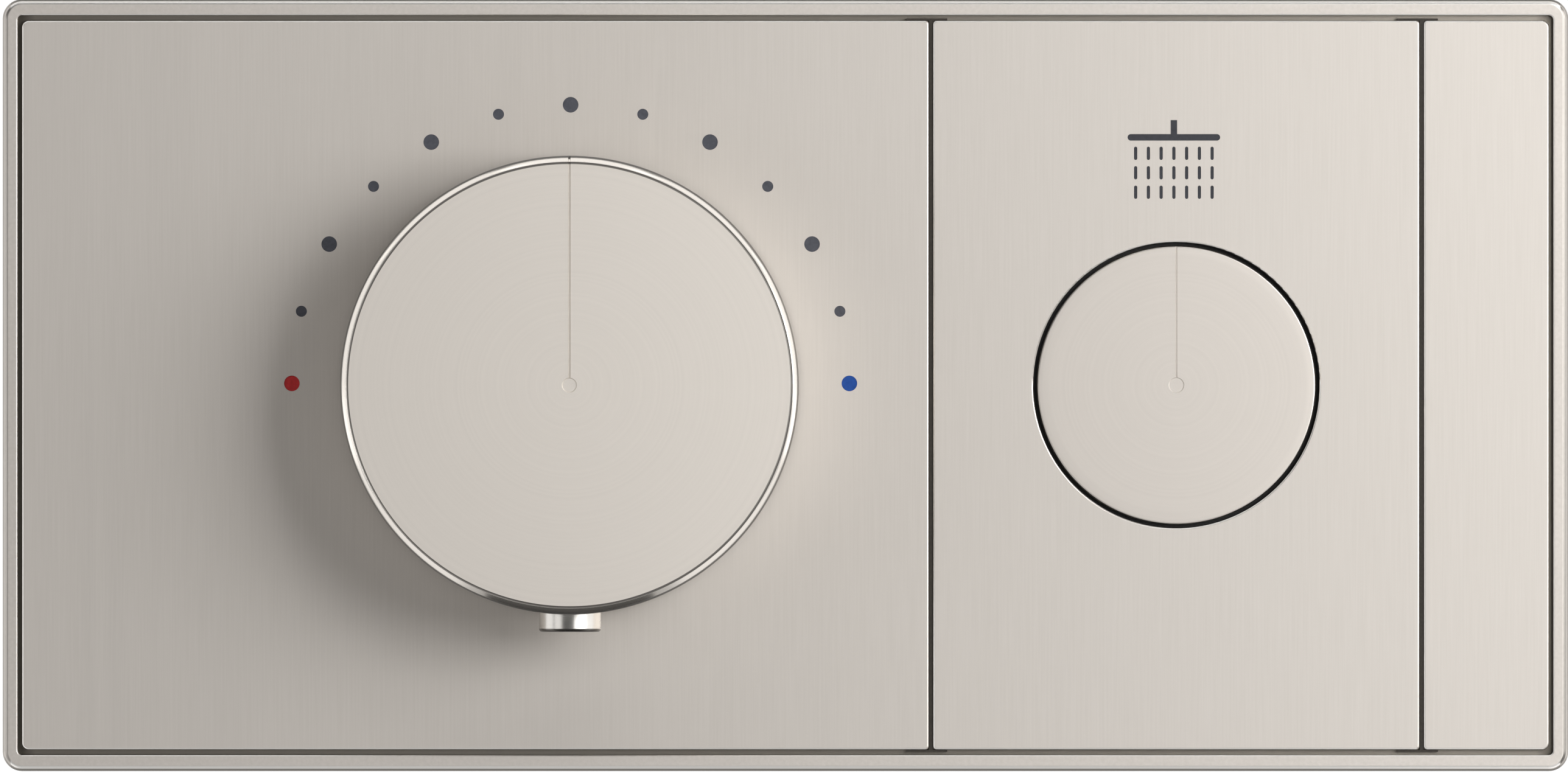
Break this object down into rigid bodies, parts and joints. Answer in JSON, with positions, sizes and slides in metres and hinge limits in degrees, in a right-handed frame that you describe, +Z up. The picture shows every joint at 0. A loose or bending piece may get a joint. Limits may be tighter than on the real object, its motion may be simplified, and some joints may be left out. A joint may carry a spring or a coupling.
{
  "type": "thermostatic shower control",
  "caption": "Rectangular wall panel with a large temperature knob, a flush push and turn outlet button, and the concealed mixing valve, cartridges and check valves behind it.",
  "frame": {"origin": "centre of the panel on the plane of the finished wall", "axes": "+X right along the panel, +Y into the wall, +Z up"},
  "size_m": [0.24, 0.128, 0.1184],
  "materials": {
    "brushed_nickel": "vertical brushed nickel",
    "frame_nickel": "satin nickel on a cast frame",
    "turned_nickel": "circular brushed nickel with a polished edge",
    "polished_nickel": "polished nickel",
    "black_plastic": "black moulded plastic",
    "dark_enamel": "dark grey enamel fill",
    "red_enamel": "red enamel fill",
    "blue_enamel": "blue enamel fill",
    "foam_rubber": "closed-cell foam",
    "seal_rubber": "nitrile rubber",
    "zinc_steel": "zinc-plated sheet steel",
    "screw_steel": "stainless steel",
    "spring_steel": "stainless spring wire",
    "brass": "cast and turned brass",
    "copper": "copper tube",
    "grey_plastic": "grey glass-filled nylon",
    "white_plastic": "white acetal"
  },
  "bodies": {
    "root": {"trim_frame": "frame_nickel", "thermostat_plate": "brushed_nickel", "button_plate": "brushed_nickel", "blank_plate": "brushed_nickel", "plate_dividers": "black_plastic", "scale_dots": "dark_enamel", "cold_dot": "blue_enamel", "hot_dot": "red_enamel", "shower_sign": "dark_enamel", "wall_gasket": "foam_rubber", "trim_chassis": "zinc_steel", "frame_screws": "screw_steel", "trim_screws": "screw_steel", "trim_standoffs": "zinc_steel", "mounting_bracket": "zinc_steel", "bracket_screws": "screw_steel", "stop_collar": "black_plastic", "thermostat_housing": "grey_plastic", "spindle_seal": "seal_rubber", "return_spring": "spring_steel", "thermostat_end_ring": "brass", "thermostat_seals": "seal_rubber", "thermostat_nut": "brass", "thermostat_body": "brass", "stem_seal": "seal_rubber", "button_spring": "spring_steel", "volume_housing": "grey_plastic", "volume_seals": "seal_rubber", "volume_nut": "brass", "volume_body": "brass", "crossover_tube": "copper", "hot_leg": "brass", "cold_leg": "brass", "outlet_leg": "brass", "pipe_adapters": "brass", "check_housings": "white_plastic", "hot_check_spring": "spring_steel", "cold_check_spring": "spring_steel", "inlet_screens": "screw_steel"},
    "knob": {"temperature_knob": "turned_nickel", "knob_insert": "white_plastic", "insert_screws": "screw_steel", "thermostat_spindle": "brass", "override_spring": "spring_steel"},
    "override": {"override_button": "polished_nickel"},
    "regulator": {"regulator_nut": "brass", "overload_spring": "spring_steel", "spring_cap": "brass", "cap_retainer": "spring_steel", "element_pin": "screw_steel"},
    "shuttle": {"wax_element": "copper", "mixing_spool": "white_plastic"},
    "volume_drive": {"volume_sleeve": "white_plastic"},
    "outlet_push": {"outlet_button": "turned_nickel", "button_carrier": "grey_plastic", "button_stem": "brass", "shutoff_piston": "brass", "piston_seal": "seal_rubber"},
    "hot_check": {"hot_check_poppet": "white_plastic"},
    "cold_check": {"cold_check_poppet": "white_plastic"}
  },
  "joints": [
    {"name": "temperature_turn", "type": "hinge", "parent": "root", "child": "knob", "pos_m": [-0.03293, 0, 0], "axis": [0, -1, 0], "range_deg": [-90, 90]},
    {"name": "override_press", "type": "slide", "parent": "knob", "child": "override", "axis": [0, 0, 1], "range_m": [0, 0.002], "stiffness_N_per_m": 600, "springref_m": -0.004, "deforming": ["override_spring"]},
    {"name": "regulator_travel", "type": "slide", "parent": "root", "child": "regulator", "axis": [0, 1, 0], "range_m": [-0.0016, 0.0016]},
    {"name": "shuttle_travel", "type": "slide", "parent": "root", "child": "shuttle", "axis": [0, 1, 0], "range_m": [-0.0007, 0.0007], "deforming": ["return_spring"]},
    {"name": "volume_turn", "type": "hinge", "parent": "root", "child": "volume_drive", "pos_m": [0.0599, 0, 0], "axis": [0, -1, 0], "range_deg": [-90, 90]},
    {"name": "outlet_press", "type": "slide", "parent": "volume_drive", "child": "outlet_push", "axis": [0, 1, 0], "range_m": [-0.009, 0.0015], "deforming": ["button_spring"]},
    {"name": "hot_check_lift", "type": "slide", "parent": "root", "child": "hot_check", "axis": [0, 0, 1], "range_m": [0, 0.0025], "stiffness_N_per_m": 60, "springref_m": -0.004, "deforming": ["hot_check_spring"]},
    {"name": "cold_check_lift", "type": "slide", "parent": "root", "child": "cold_check", "axis": [0, 0, 1], "range_m": [0, 0.0025], "stiffness_N_per_m": 60, "springref_m": -0.004, "deforming": ["cold_check_spring"]}
  ],
  "couplings": [
    {"joint": "regulator_travel", "follows": "temperature_turn", "m_per_rad": -0.00095493},
    {"joint": "shuttle_travel", "follows": "temperature_turn", "m_per_rad": -0.00038197}
  ]
}
